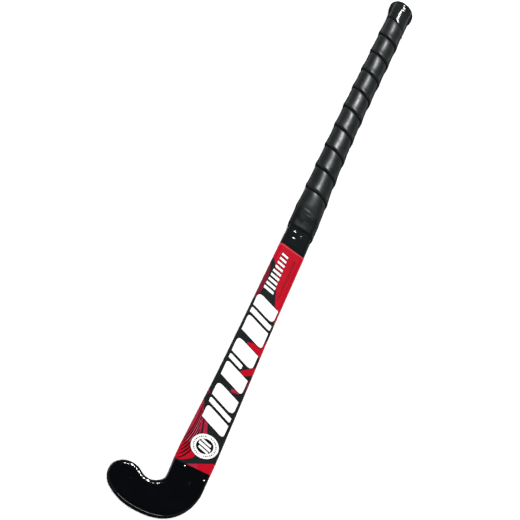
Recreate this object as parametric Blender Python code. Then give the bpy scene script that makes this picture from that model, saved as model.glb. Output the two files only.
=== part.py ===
"""Field hockey stick, built as a laminated and spliced wooden stick.

It lies on its back with the flat hitting face up (+Z).  +X runs from the head to
the butt end, +Y points to the toe side.  The origin is under the middle of the
whole stick, on the floor.  All lengths below are in metres.
"""
import math

import bmesh
import bpy
from mathutils import Vector

MM = 0.001

# --- length and spine ---------------------------------------------------------
BUTT_X = 457.5 * MM        # outer end of the butt cap, before centring
BEND_X = -414.0 * MM       # where the straight shaft starts to bend into the hook
BENDS = ((36 * MM, 61.2), (39 * MM, 70.9))   # spine radius and turn in degrees
TOE_REACH = 22.4 * MM        # length of the rounded toe beyond the last bend

# --- body sections: x along the spine, half width, sideways drift of the middle,
# --- height of the back ridge, of the widest line and of the face, edge rounding
BODY = (
    (-505, 20.9, 0.0, 0.0, 18.0, 21.0, 3.2),
    (-475, 21.0, 0.2, 0.0, 18.0, 21.0, 3.2),
    (-445, 23.7, -1.1, 0.0, 18.0, 21.0, 3.2),
    (-415, 22.8, -0.2, 0.0, 18.0, 21.0, 3.2),
    (-380, 23.3, 0.2, 0.0, 18.0, 21.0, 3.2),
    (-340, 22.5, 0.0, 0.0, 18.0, 21.0, 3.2),
    (-260, 20.5, -0.6, 0.3, 18.4, 21.5, 3.4),
    (-160, 18.9, -0.5, 0.8, 19.0, 22.4, 3.8),
    (-40, 18.0, -0.9, 1.4, 20.0, 24.0, 5.0),
    (10, 16.8, -0.8, 2.6, 21.0, 25.6, 8.0),
    (60, 14.6, 0.0, 3.9, 22.2, 27.4, 11.0),
    (120, 13.5, 0.9, 4.4, 23.6, 28.9, 12.5),
    (220, 12.9, 1.2, 5.0, 25.0, 30.6, 12.9),
    (360, 12.8, -0.9, 5.6, 25.4, 31.2, 12.8),
    (440, 12.6, -1.7, 6.0, 25.4, 31.2, 12.6),
)
BACK_POWER = 2.15          # squareness of the rounded back

# --- layers, as depth below the body surface ----------------------------------
GAP = 0.3 * MM
FILM_T = 0.35 * MM
SLEEVE_T = 0.8 * MM
SKIN_T = 1.4 * MM
WOOD_IN = 1.7 * MM         # wood surface under the skin and the sleeve
TAPE_T = 0.5 * MM
WHIP_T = 0.8 * MM

# --- where the layers start and stop ------------------------------------------
FILM_LOW = -392.5 * MM
FILM_TOP = -39.5 * MM
FILM_SLANT = 4 * MM
SKIN_TOP = -392.9 * MM
SLEEVE_TOP = 22 * MM
WOOD_TOP = 446 * MM
TAPE_LOW = 22.4 * MM

# --- spliced handle -----------------------------------------------------------
SPLICE_TIP_X = -345 * MM
SPLICE_TOP_X = -200 * MM
SPLICE_TIP = 2 * MM
STRIPS = 5                 # bent strips side by side across the head
SPRING_T = 1.6 * MM
WHIPS = (-215 * MM, -100 * MM, 8 * MM)
WHIP_LEN = 16 * MM
WHIP_TURNS = 6

# --- cushion grip, tape and cap -----------------------------------------------
PITCH = 40 * MM            # one turn of the grip strip
GRIP_T = 2.5 * MM
GRIP_IN = 0.5 * MM         # clear of the under-grip tape
SEAM_X = 18.2 * MM         # lowest seam, on the face side
SEAM_SLANT = 9.5 * MM
GRIP_END_X = -9.5 * MM
COLLAR_X = 418 * MM
CAP_X = 444 * MM
CAP_SKIRT = 16 * MM        # how far the cap reaches down over the handle
CAP_LIFT = 6 * MM          # height of the flared rim over the handle
CAP_LEAN = math.tan(math.radians(14))
BADGE_X = -360.5 * MM
BADGE_Y = -3.2 * MM
BADGE_R = 17 * MM


def ease(xs, ys, x):
    """Monotone cubic through the given stations."""
    if x <= xs[0]:
        return ys[0]
    if x >= xs[-1]:
        return ys[-1]
    k = max(i for i in range(len(xs) - 1) if xs[i] <= x)
    step = [xs[i + 1] - xs[i] for i in range(len(xs) - 1)]
    rise = [(ys[i + 1] - ys[i]) / step[i] for i in range(len(xs) - 1)]

    def slope(i):
        if i == 0 or i == len(xs) - 1 or rise[i - 1] * rise[i] <= 0:
            return 0.0
        return 2 * rise[i - 1] * rise[i] / (rise[i - 1] + rise[i])

    h = step[k]
    t = (x - xs[k]) / h
    a, b = slope(k), slope(k + 1)
    return (ys[k] * (1 + 2 * t) * (1 - t) ** 2 + ys[k + 1] * t * t * (3 - 2 * t)
            + h * a * t * (1 - t) ** 2 - h * b * t * t * (1 - t))


STATION_X = [row[0] * MM for row in BODY]
STATION = [[row[k] * MM for row in BODY] for k in range(1, 7)]
HOOK_LEN = sum(r * math.radians(a) for r, a in BENDS)
TOE_X = BEND_X - HOOK_LEN  # start of the rounded toe, measured along the spine


def body(x, depth=0.0):
    """Section numbers at x, shrunk by a depth."""
    w, side, back, wide, face, edge = [ease(STATION_X, col, x) for col in STATION]
    w -= depth
    back += depth
    face -= depth
    edge = min(w, max(edge - depth, 1.5 * MM))
    return w, side, back, wide, face, edge


def spine(x):
    """Point and heading of the spine; x goes on past the bend as arc length."""
    if x >= BEND_X:
        return x, 0.0, 0.0
    left = BEND_X - x
    px, py, turn = BEND_X, 0.0, 0.0
    for radius, degrees in BENDS:
        part = min(left, radius * math.radians(degrees))
        after = turn + part / radius
        px -= radius * (math.sin(after) - math.sin(turn))
        py += radius * (math.cos(turn) - math.cos(after))
        turn = after
        left -= part
    return px - left * math.cos(turn), py + left * math.sin(turn), turn


def place(x, v, z, ahead=0.0):
    """World point for a lateral offset v and height z on the section at x."""
    px, py, turn = spine(x)
    side = ease(STATION_X, STATION[1], x)
    v += side
    return (px + math.sin(turn) * v - math.cos(turn) * ahead,
            py + math.cos(turn) * v + math.sin(turn) * ahead, z)


def reach(sec, z):
    """Half width of a section at height z."""
    w, _, back, wide, face, edge = sec
    if z >= wide:
        k = min(1.0, (z - wide) / (face - wide))
        return w - edge + edge * math.sqrt(1 - k * k)
    k = min(1.0, (wide - z) / (wide - back))
    return w * (1 - k ** BACK_POWER) ** (1 / BACK_POWER)


def level(sec, v, top):
    """Height of the top or bottom surface at lateral offset v."""
    w, _, back, wide, face, edge = sec
    v = min(abs(v), w)
    if top:
        k = max(0.0, (v - (w - edge)) / edge)
        return wide + (face - wide) * math.sqrt(max(0.0, 1 - k * k))
    return wide - (wide - back) * (1 - (v / w) ** BACK_POWER) ** (1 / BACK_POWER)


def ring(x, depth=0.0, arc=4, flat=3, under=12):
    """Closed outline (v, z) of the body at x: over the face, back under."""
    w, _, back, wide, face, edge = body(x, depth)
    pts = []
    for i in range(arc + 1):
        a = math.pi / 2 * i / arc
        pts.append((w - edge + edge * math.cos(a), wide + (face - wide) * math.sin(a)))
    for i in range(1, flat):
        pts.append(((w - edge) * (1 - 2 * i / flat), face))
    for i in range(arc, -1, -1):
        a = math.pi / 2 * i / arc
        pts.append((-(w - edge + edge * math.cos(a)), wide + (face - wide) * math.sin(a)))
    for i in range(1, under):
        a = math.pi * i / under
        c, s = math.cos(a), math.sin(a)
        pts.append((-math.copysign(abs(c) ** (2 / BACK_POWER), c) * w,
                    wide - (wide - back) * s ** (2 / BACK_POWER)))
    return pts


def stops(low, high, step):
    """Even stations from low to high that keep the shared grid points."""
    inner = [k * step for k in range(math.ceil(low / step), math.floor(high / step) + 1)]
    inner = [x for x in inner if low + step / 5 < x < high - step / 5]
    return [low] + inner + [high]


# --- solids -------------------------------------------------------------------
def finish(name, bm, colour, rough, metal=0.0, smooth=30):
    """Turn the working mesh into a named object with its own material."""
    bmesh.ops.remove_doubles(bm, verts=bm.verts, dist=1e-6)
    bmesh.ops.dissolve_degenerate(bm, dist=1e-7, edges=bm.edges)
    bmesh.ops.recalc_face_normals(bm, faces=bm.faces)
    if bm.calc_volume(signed=True) < 0:
        bmesh.ops.reverse_faces(bm, faces=bm.faces)
    mesh = bpy.data.meshes.new(name)
    bm.to_mesh(mesh)
    bm.free()
    obj = bpy.data.objects.new(name, mesh)
    bpy.context.scene.collection.objects.link(obj)
    mat = bpy.data.materials.new(name)
    mat.use_nodes = True
    shader = mat.node_tree.nodes["Principled BSDF"]
    shader.inputs["Base Color"].default_value = (*colour, 1)
    shader.inputs["Roughness"].default_value = rough
    shader.inputs["Metallic"].default_value = metal
    mesh.materials.append(mat)
    mesh.shade_smooth()
    mesh.set_sharp_from_angle(angle=math.radians(smooth))
    return obj


def skin_rings(bm, rings, closed=False):
    """Quads between successive rings of equal count; returns the vertex rings."""
    made = [[bm.verts.new(p) for p in loop] for loop in rings]
    pairs = list(zip(made, made[1:]))
    if closed:
        pairs.append((made[-1], made[0]))
    for one, two in pairs:
        n = len(one)
        for i in range(n):
            j = (i + 1) % n
            bm.faces.new((one[i], one[j], two[j], two[i]))
    return made


def loft(rings):
    """Solid through rings with a flat face at each end."""
    bm = bmesh.new()
    made = skin_rings(bm, rings)
    bm.faces.new(list(reversed(made[0])))
    bm.faces.new(made[-1])
    return bm


def sleeve(outer, inner):
    """Tube between two lists of rings."""
    bm = bmesh.new()
    skin_rings(bm, outer + inner[::-1], closed=True)
    return bm


def around(x, depth, shift=None, **kw):
    """World ring of the body at x; shift moves each point along x."""
    pts = ring(x, depth, **kw)
    if shift is None:
        return [place(x, v, z) for v, z in pts]
    return [place(x + shift(v / body(x, depth)[0]), v, z) for v, z in pts]


def toe_rings(depth, steps, **kw):
    """Rings that sweep the section round the toe end."""
    w = body(TOE_X, depth)[0]
    long = (TOE_REACH - depth) / w
    out = []
    for k in range(1, steps + 1):
        a = math.pi / 2 * k / steps
        out.append([place(TOE_X, v * math.cos(a), z, abs(v) * long * math.sin(a))
                    for v, z in ring(TOE_X, depth, **kw)])
    return out


def wood_depth(x):
    """Depth of the wood surface, deeper under each whipping and in the handle."""
    if x > TAPE_LOW:
        return TAPE_T + GAP
    deep = WOOD_IN
    for mid in WHIPS:
        if abs(x - mid) < WHIP_LEN / 2 + GAP:
            deep = WOOD_IN + WHIP_T + GAP
    return deep


def wood_stops(low, high, step):
    """Stations for the wood, with a sharp step at each whipping groove."""
    marks = stops(low, high, step)
    for mid in WHIPS:
        for side in (-1, 1):
            edge = mid + side * (WHIP_LEN / 2 + GAP)
            marks += [edge - 0.05 * MM, edge + 0.05 * MM]
    marks += [TAPE_LOW - 0.05 * MM, TAPE_LOW + 0.05 * MM]
    return sorted(x for x in set(marks) if low <= x <= high)


def wedge(x):
    """Half width of the spliced handle wedge."""
    full = body(SPLICE_TOP_X, WOOD_IN)[0]
    k = (x - SPLICE_TIP_X) / (SPLICE_TOP_X - SPLICE_TIP_X)
    return SPLICE_TIP + (full - SPLICE_TIP) * k


def strip_section(x, sec, v0, v1, cuts=2):
    """Outline of a strip between lateral offsets v0 < v1."""
    vs = [v0 + (v1 - v0) * i / cuts for i in range(cuts + 1)]
    top = [(v, level(sec, v, True)) for v in vs]
    low = [(v, level(sec, v, False)) for v in reversed(vs)]
    mid_r = (v1, sec[3]) if abs(v1) >= sec[0] - 1e-7 else (v1, (top[-1][1] + low[0][1]) / 2)
    mid_l = (v0, sec[3]) if abs(v0) >= sec[0] - 1e-7 else (v0, (top[0][1] + low[-1][1]) / 2)
    return top + [mid_r] + low + [mid_l]


def head_strip(index):
    """One bent strip of the head, from the splice fork to the toe."""
    f0 = -1 + 2 * index / STRIPS
    f1 = f0 + 2 / STRIPS
    side = 0 if index == STRIPS // 2 else (1 if index > STRIPS // 2 else -1)
    thin = 1.0 * MM

    def edges(x):
        w = body(x, wood_depth(x))[0]
        g0 = 0 if index == 0 else GAP / 2
        g1 = 0 if index == STRIPS - 1 else GAP / 2
        a, b = f0 * w + g0, f1 * w - g1
        if x > SPLICE_TIP_X - 2 * MM:
            fork = wedge(x) + GAP
            if side > 0:
                a = max(a, fork)
            if side < 0:
                b = min(b, -fork)
        return a, b

    x = SPLICE_TIP_X - 1 * MM
    if side:
        while edges(x)[1] - edges(x)[0] > thin:
            x += 1 * MM
        x -= 1 * MM
    top_x = x
    marks = wood_stops(TOE_X, top_x, 20 * MM)
    hook = [TOE_X + (BEND_X - TOE_X) * k / 12 for k in range(13)]
    marks = sorted(set([m for m in marks if m > BEND_X + 5 * MM] + hook + [top_x]))
    kinks = []
    if side:
        for m in [top_x - 30 * MM, top_x - 60 * MM]:
            kinks.append(m)
    marks = sorted(set(marks + [k for k in kinks if k > BEND_X]))
    rings = []
    for x in reversed(marks):
        sec = body(x, wood_depth(x))
        a, b = edges(x)
        rings.append([place(x, v, z) for v, z in strip_section(x, sec, a, b)])
    sec = body(TOE_X, WOOD_IN)
    a, b = edges(TOE_X)
    shape = strip_section(TOE_X, sec, a, b)
    grow = (TOE_REACH - WOOD_IN - 0.2 * MM) / sec[0]
    for k in (0.4, 0.75, 1.0):
        row = []
        for v, z in shape:
            far = math.sqrt(max(0.0, reach(sec, z) ** 2 - v * v)) * grow
            row.append(place(TOE_X, v, z, far * k))
        rings.append(row)
    return loft(rings)


def layer_bounds(x):
    """Heights that split the handle into three canes and two springs."""
    _, _, back, _, face, _ = body(x, wood_depth(x))
    third = (face - back - 2 * (SPRING_T + 2 * GAP)) / 3
    cuts = []
    z = back
    for k in range(3):
        cuts.append((z, z + third))
        z += third + GAP
        if k < 2:
            cuts.append((z, z + SPRING_T))
            z += SPRING_T + GAP
    return cuts


def handle_layer(k, low_x, rows):
    """One cane or spring of the handle, wedge shaped at its lower end."""
    rings = []
    marks = wood_stops(low_x, WOOD_TOP, 60 * MM) + [SPLICE_TOP_X]
    for x in sorted(set(marks), reverse=True):
        sec = body(x, wood_depth(x))
        z0, z1 = layer_bounds(x)[k]
        limit = wedge(x) if x < SPLICE_TOP_X else 1.0
        right = []
        for i in range(rows + 1):
            z = z0 + (z1 - z0) * (0.5 - 0.5 * math.cos(math.pi * i / rows))
            right.append((min(max(reach(sec, z), 1 * MM), limit), z))
        left = [(-v, z) for v, z in reversed(right)]
        rings.append([place(x, v, z) for v, z in right + left])
    return loft(rings)


def whipping(mid):
    """Band of tight twine turns, ridged like wound cord."""
    outer = []
    inner = []
    for k in range(2 * WHIP_TURNS + 1):
        x = mid - WHIP_LEN / 2 + WHIP_LEN * k / (2 * WHIP_TURNS)
        ridge = 0 if k % 2 else WHIP_T * 0.4
        outer.append(around(x, WOOD_IN + ridge, arc=5, flat=2, under=12))
    for x in (mid - WHIP_LEN / 2, mid + WHIP_LEN / 2):
        inner.append(around(x, WOOD_IN + WHIP_T, arc=5, flat=2, under=12))
    return sleeve(outer, inner)


def hand(x, lift, a, rounder=0.0):
    """Point on the handle at turn angle a, lifted off the body; rounder 1 is a circle."""
    w, side, back, wide, face, edge = body(x)
    wide += ((back + face) / 2 - wide) * rounder
    c, s = math.cos(a), math.sin(a)
    if s >= 0:
        v = c * edge + math.copysign((w - edge) * min(1, abs(c) * 3), c)
        z = wide + (face - wide) * s
    else:
        v = math.copysign(abs(c) ** (2 / BACK_POWER), c) * w
        z = wide - (wide - back) * abs(s) ** (2 / BACK_POWER)
    n = Vector((c / w, s / (face - wide if s >= 0 else wide - back))).normalized()
    return place(x, v + n.x * lift, z + n.y * lift)


def grip_lift(x):
    """Outer height of the cushion grip over the body."""
    k = min(1.0, max(0.0, (x - GRIP_END_X) / (60 * MM)))
    return GAP + 0.8 * MM + (GRIP_T - 0.8 * MM) * k * k * (3 - 2 * k)


def slanted(mid):
    """Slanted ring edge around the handle."""
    return lambda a: mid + SEAM_SLANT * math.cos(a)


def band(low, high, steps, lift_in, lift_out, turns=24):
    """Ring band between two edge functions of the turn angle."""
    rows_out = []
    rows_in = []
    for k in range(steps + 1):
        row_o = []
        row_i = []
        for j in range(turns):
            a = 2 * math.pi * j / turns
            x = low(a) + (high(a) - low(a)) * k / steps
            row_o.append(hand(x, lift_out(x, k / steps), a))
            row_i.append(hand(x, lift_in, a))
        rows_out.append(row_o)
        rows_in.append(row_i)
    return sleeve(rows_out, rows_in)


def cushion_grip(turns=24):
    """Helical strip; each turn stands proud along its lower edge."""
    floor_edge = slanted(SEAM_X)
    top_edge = slanted(COLLAR_X)
    rows = []
    step = 2 * math.pi / turns
    k = 0
    while True:
        a = math.pi / 2 + 2 * math.pi - k * step
        low = SEAM_X + PITCH * (math.pi / 2 - a) / (2 * math.pi)
        high = low + PITCH - GAP
        k += 1
        low = max(low, floor_edge(a) + GAP)
        high = min(high, top_edge(a) - GAP)
        if high - low < 1.5 * MM:
            if rows:
                break
            continue
        row = []
        for f, rise in ((0, 0.0), (0, -0.35), (0.05, 0.05), (0.5, -0.1), (0.97, -0.45)):
            x = low + (high - low) * f
            row.append(hand(x, grip_lift(x) + rise * MM, a) if rise or f else
                       hand(x, GRIP_IN, a))
        row.append(hand(high, GRIP_IN, a))
        rows.append(row)
    return loft(rows)


def butt_cap(turns=28):
    """Rubber cap: thin skirt under the collar, flared rim, flat end."""
    cap_len = BUTT_X - CAP_X
    thin = 3 * GAP
    edge = CAP_LIFT * 0.55
    rim = cap_len - 3 * MM
    outside = [(-CAP_SKIRT, thin, 0), (-GAP, thin, 0), (0, edge * 0.9, 0),
               (0.22 * cap_len, edge * 1.1, 0.3), (0.45 * cap_len, CAP_LIFT * 0.87, 0.7),
               (0.6 * cap_len, CAP_LIFT, 1), (rim, CAP_LIFT, 1),
               (rim + 2 * MM, CAP_LIFT * 0.87, 1), (cap_len, edge, 1)]
    inside = [(WOOD_TOP + 0.4 * MM - CAP_X, GAP, 0), (-CAP_SKIRT, GAP, 0)]
    rings = []
    for along, lift, lean in outside + inside:
        x = CAP_X + along
        row = []
        for j in range(turns):
            p = hand(x, lift, 2 * math.pi * j / turns, lean)
            row.append((p[0] + lean * CAP_LEAN * p[1], p[1], p[2]))
        rings.append(row)
    bm = bmesh.new()
    made = skin_rings(bm, rings[:9])
    inner = skin_rings(bm, rings[9:])
    bm.faces.new(made[-1])
    bm.faces.new(list(reversed(inner[0])))
    n = turns
    for i in range(n):
        j = (i + 1) % n
        bm.faces.new((made[0][i], made[0][j], inner[-1][j], inner[-1][i]))
    return bm


def badge(turns=28):
    """Round sticker lying on the flat face."""
    face = body(BADGE_X)[4]
    rings = []
    for z in (face + 0.15 * MM, face + 0.4 * MM):
        rings.append([(BADGE_X + BADGE_R * math.cos(2 * math.pi * j / turns),
                       BADGE_Y + BADGE_R * math.sin(2 * math.pi * j / turns), z)
                      for j in range(turns)])
    return loft(rings)


def build():
    """Make every piece."""
    for obj in list(bpy.data.objects):
        bpy.data.objects.remove(obj, do_unlink=True)
    wood = (0.62, 0.42, 0.24)
    cane = (0.70, 0.55, 0.33)
    for k in range(STRIPS):
        finish(f"head_lamination_{k + 1}", head_strip(k), wood, 0.6)
    finish("cane_back", handle_layer(0, SPLICE_TIP_X, 6), cane, 0.6)
    finish("rubber_spring_back", handle_layer(1, SPLICE_TIP_X + 8 * MM, 2),
           (0.05, 0.05, 0.05), 0.8)
    finish("cane_middle", handle_layer(2, SPLICE_TIP_X, 4), cane, 0.6)
    finish("rubber_spring_face", handle_layer(3, SPLICE_TIP_X + 8 * MM, 2),
           (0.05, 0.05, 0.05), 0.8)
    finish("cane_face", handle_layer(4, SPLICE_TIP_X, 6), cane, 0.6)
    for name, mid in zip(("lower", "middle", "upper"), WHIPS):
        finish(f"twine_whipping_{name}", whipping(mid), (0.75, 0.70, 0.58), 0.8)

    film_in = WOOD_IN - GAP - SLEEVE_T
    low_x = stops(SKIN_TOP + 1 * MM, FILM_TOP - 2 * FILM_SLANT, 40 * MM)
    top_x = [-20 * MM, 0.0, SLEEVE_TOP]
    slope = [(FILM_TOP + GAP, film_in), (FILM_TOP + 2 * GAP, 0.0)]
    outer = [around(x, film_in) for x in low_x]
    outer += [around(x, depth, lambda f: f * FILM_SLANT) for x, depth in slope]
    outer += [around(x, 0.0) for x in top_x]
    inner = [around(x, WOOD_IN - GAP) for x in low_x + top_x]
    finish("fibreglass_sleeve", sleeve(outer, inner), (0.02, 0.02, 0.022), 0.15)

    skin_x = [SKIN_TOP] + [TOE_X + (BEND_X - TOE_X) * k / 12 for k in range(12, -1, -1)]
    outer = [around(x, 0.0) for x in skin_x] + toe_rings(0.0, 5)
    inner = [around(x, SKIN_T) for x in skin_x] + toe_rings(SKIN_T, 5)
    bm = bmesh.new()
    out = skin_rings(bm, outer)
    inn = skin_rings(bm, inner)
    n = len(out[0])
    for i in range(n):
        j = (i + 1) % n
        bm.faces.new((out[0][i], out[0][j], inn[0][j], inn[0][i]))
    finish("head_skin", bm, (0.008, 0.008, 0.01), 0.08)

    film_x = stops(FILM_LOW, FILM_TOP, 40 * MM)
    slant = [FILM_SLANT if x == FILM_TOP else 0.0 for x in film_x]
    shifts = [(lambda k: lambda f: f * k)(s) for s in slant]
    outer = [around(x, 0.0, s) for x, s in zip(film_x, shifts)]
    inner = [around(x, FILM_T, s) for x, s in zip(film_x, shifts)]
    finish("graphic_film", sleeve(outer, inner), (0.45, 0.01, 0.03), 0.3)
    finish("round_badge", badge(), (0.85, 0.85, 0.85), 0.3)

    tape_x = stops(TAPE_LOW, CAP_X - CAP_SKIRT - GAP, 60 * MM)
    outer = [around(x, 0.0, arc=5, flat=2, under=12) for x in tape_x]
    inner = [around(x, TAPE_T, arc=5, flat=2, under=12) for x in tape_x]
    finish("under_grip_tape", sleeve(outer, inner), (0.12, 0.12, 0.12), 0.7)

    finish("cushion_grip", cushion_grip(), (0.035, 0.038, 0.04), 0.55)
    finish("finishing_tape",
           band(slanted(GRIP_END_X), slanted(SEAM_X), 3, GAP,
                lambda x, f: grip_lift(x) - (0.3 * MM if f in (0, 1) else 0)),
           (0.03, 0.032, 0.035), 0.4)
    finish("top_collar",
           band(slanted(COLLAR_X), lambda a: CAP_X - GAP, 3, 4 * GAP,
                lambda x, f: GAP + GRIP_T + 0.25 * MM),
           (0.01, 0.01, 0.012), 0.15)
    finish("butt_cap", butt_cap(), (0.015, 0.015, 0.016), 0.35)


def centre():
    """Move everything so that the origin is under the middle, on the floor."""
    objs = list(bpy.data.objects)
    low = [min(v.co[k] for o in objs for v in o.data.vertices) for k in range(3)]
    high = [max(v.co[k] for o in objs for v in o.data.vertices) for k in range(3)]
    shift = Vector(((low[0] + high[0]) / 2, (low[1] + high[1]) / 2, low[2]))
    for o in objs:
        for v in o.data.vertices:
            v.co -= shift


build()
centre()
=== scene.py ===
import math

import bmesh
import bpy
from mathutils import Matrix, Vector, noise
from mathutils.geometry import delaunay_2d_cdt


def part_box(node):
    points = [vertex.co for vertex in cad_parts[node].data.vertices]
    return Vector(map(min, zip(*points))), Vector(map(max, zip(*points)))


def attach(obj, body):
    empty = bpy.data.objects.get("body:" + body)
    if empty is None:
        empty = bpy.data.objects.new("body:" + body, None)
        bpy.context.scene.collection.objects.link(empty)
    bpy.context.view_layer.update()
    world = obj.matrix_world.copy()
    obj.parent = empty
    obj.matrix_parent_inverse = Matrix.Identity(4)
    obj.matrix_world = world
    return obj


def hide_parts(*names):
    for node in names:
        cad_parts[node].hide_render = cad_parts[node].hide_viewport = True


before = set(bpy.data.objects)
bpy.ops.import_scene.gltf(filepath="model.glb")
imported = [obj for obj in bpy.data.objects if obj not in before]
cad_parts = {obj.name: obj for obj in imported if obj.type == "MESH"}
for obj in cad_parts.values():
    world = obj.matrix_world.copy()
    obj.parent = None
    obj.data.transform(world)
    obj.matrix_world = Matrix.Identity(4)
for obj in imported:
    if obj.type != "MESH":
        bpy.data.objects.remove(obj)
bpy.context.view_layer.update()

MM = 0.001

# --- the stick's shape, the same formulas as the solids -------------------------
BUTT_X = 457.5 * MM
BEND_X = -414.0 * MM
BENDS = ((36 * MM, 61.2), (39 * MM, 70.9))
TOE_REACH = 22.4 * MM
BODY = (   # x, half width, drift, back, widest line, face, edge rounding
    (-505, 20.9, 0.0, 0.0, 18.0, 21.0, 3.2),
    (-475, 21.0, 0.2, 0.0, 18.0, 21.0, 3.2),
    (-445, 23.7, -1.1, 0.0, 18.0, 21.0, 3.2),
    (-415, 22.8, -0.2, 0.0, 18.0, 21.0, 3.2),
    (-380, 23.3, 0.2, 0.0, 18.0, 21.0, 3.2),
    (-340, 22.5, 0.0, 0.0, 18.0, 21.0, 3.2),
    (-260, 20.5, -0.6, 0.3, 18.4, 21.5, 3.4),
    (-160, 18.9, -0.5, 0.8, 19.0, 22.4, 3.8),
    (-40, 18.0, -0.9, 1.4, 20.0, 24.0, 5.0),
    (10, 16.8, -0.8, 2.6, 21.0, 25.6, 8.0),
    (60, 14.6, 0.0, 3.9, 22.2, 27.4, 11.0),
    (120, 13.5, 0.9, 4.4, 23.6, 28.9, 12.5),
    (220, 12.9, 1.2, 5.0, 25.0, 30.6, 12.9),
    (360, 12.8, -0.9, 5.6, 25.4, 31.2, 12.8),
    (440, 12.6, -1.7, 6.0, 25.4, 31.2, 12.6),
)
BACK_POWER = 2.15
FILM_LOW = -392.5 * MM
FILM_TOP = -39.5 * MM
FILM_SLANT = 4 * MM
FILM_PROUD = 0.12 * MM
SLEEVE_TOP = 22 * MM
PITCH = 39.7 * MM
GRIP_T = 2.5 * MM
SEAM_X = 21.6 * MM
TAPE_LOW = -4.5 * MM
TAPE_HIGH = 27.5 * MM
SEAM_SLANT = 9.5 * MM
GRIP_END_X = -9.5 * MM
COLLAR_X = 417 * MM
CAP_X = 444 * MM
CAP_LIFT = 6 * MM
CAP_LEAN = math.tan(math.radians(14))
BADGE_X = -360.5 * MM
BADGE_Y = -3.2 * MM
BADGE_R = 17 * MM
BADGE_PROUD = 0.42 * MM
GAP = 0.3 * MM

# --- finer shapes that only the visual pieces have --------------------------------
EDGE_ROUND = 3.2 * MM             # rounding of the hook's rim
CROOK_ROUND = 8.5 * MM            # softer rounding on the inside of the hook
CROWN = 2.2 * MM                  # how far the handle's flat face falls off to its sides
CROWN_X = 70 * MM
CROWN_REACH = 60 * MM
GRIP_EDGE = 0.8 * MM              # the grip is pared down to this at its lower end
GRIP_PARED = 60 * MM
BEAD_SUNK = 0.02 * MM
LIP = 0.1 * MM                    # the film's ends are turned down by this much
FILM_STEP = 5 * MM
ROUND_STEPS = 84                  # points round the handle
ARC_STEPS = 12                    # points round each edge, over the face and under the back
FLAT_STEPS = 10
BACK_STEPS = 40

# the solids are centred on the floor, so the same shift is read off the frame
low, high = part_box("round_badge")
SHIFT = Vector((BADGE_X - (low.x + high.x) / 2, BADGE_Y - (low.y + high.y) / 2, 0.0))


def blend(t):
    """Smooth step from 0 to 1."""
    t = min(1.0, max(0.0, t))
    return t * t * (3 - 2 * t)


def ease(xs, ys, x):
    """Monotone cubic through the given stations."""
    if x <= xs[0]:
        return ys[0]
    if x >= xs[-1]:
        return ys[-1]
    k = max(i for i in range(len(xs) - 1) if xs[i] <= x)
    step = [xs[i + 1] - xs[i] for i in range(len(xs) - 1)]
    rise = [(ys[i + 1] - ys[i]) / step[i] for i in range(len(xs) - 1)]

    def slope(i):
        if i == 0 or i == len(xs) - 1 or rise[i - 1] * rise[i] <= 0:
            return 0.0
        return 2 * rise[i - 1] * rise[i] / (rise[i - 1] + rise[i])

    h = step[k]
    t = (x - xs[k]) / h
    a, b = slope(k), slope(k + 1)
    return (ys[k] * (1 + 2 * t) * (1 - t) ** 2 + ys[k + 1] * t * t * (3 - 2 * t)
            + h * a * t * (1 - t) ** 2 - h * b * t * t * (1 - t))


STATION_X = [row[0] * MM for row in BODY]
STATION = [[row[k] * MM for row in BODY] for k in range(1, 7)]
TOE_X = BEND_X - sum(r * math.radians(a) for r, a in BENDS)


def body(x, depth=0.0):
    """Section numbers at x, shrunk by a depth."""
    w, side, back, wide, face, edge = [ease(STATION_X, col, x) for col in STATION]
    return (w - depth, side, back + depth, wide, face - depth,
            min(w - depth, max(edge - depth, 1.5 * MM)))


def spine(x):
    """Point and heading of the spine; x goes on past the bend as arc length."""
    if x >= BEND_X:
        return x, 0.0, 0.0
    left = BEND_X - x
    px, py, turn = BEND_X, 0.0, 0.0
    for radius, degrees in BENDS:
        part = min(left, radius * math.radians(degrees))
        after = turn + part / radius
        px -= radius * (math.sin(after) - math.sin(turn))
        py += radius * (math.cos(turn) - math.cos(after))
        turn = after
        left -= part
    return px - left * math.cos(turn), py + left * math.sin(turn), turn


def place(x, v, z, ahead=0.0):
    """Point in the frame for lateral offset v and height z on the section at x."""
    px, py, turn = spine(x)
    v += ease(STATION_X, STATION[1], x)
    return Vector((px + math.sin(turn) * v - math.cos(turn) * ahead,
                   py + math.cos(turn) * v + math.sin(turn) * ahead, z)) - SHIFT


def ring(x, depth=0.0, inner=None):
    """Closed outline (v, z) of the body at x: over the face, back under."""
    w, _, back, wide, face, edge = body(x, depth)

    def corner(r):
        turns = [math.pi / 2 * i / ARC_STEPS for i in range(ARC_STEPS + 1)]
        return [(w - r + r * math.cos(t), wide + (face - wide) * math.sin(t)) for t in turns]

    a, b = w - (inner or edge), edge - w
    pts = corner(inner or edge)
    pts += [(a + (b - a) * i / FLAT_STEPS, face) for i in range(1, FLAT_STEPS)]
    pts += [(-v, z) for v, z in reversed(corner(edge))]
    for i in range(1, BACK_STEPS):
        c, s = math.cos(math.pi * i / BACK_STEPS), math.sin(math.pi * i / BACK_STEPS)
        pts.append((-math.copysign(abs(c) ** (2 / BACK_POWER), c) * w,
                    wide - (wide - back) * s ** (2 / BACK_POWER)))
    return pts


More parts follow.
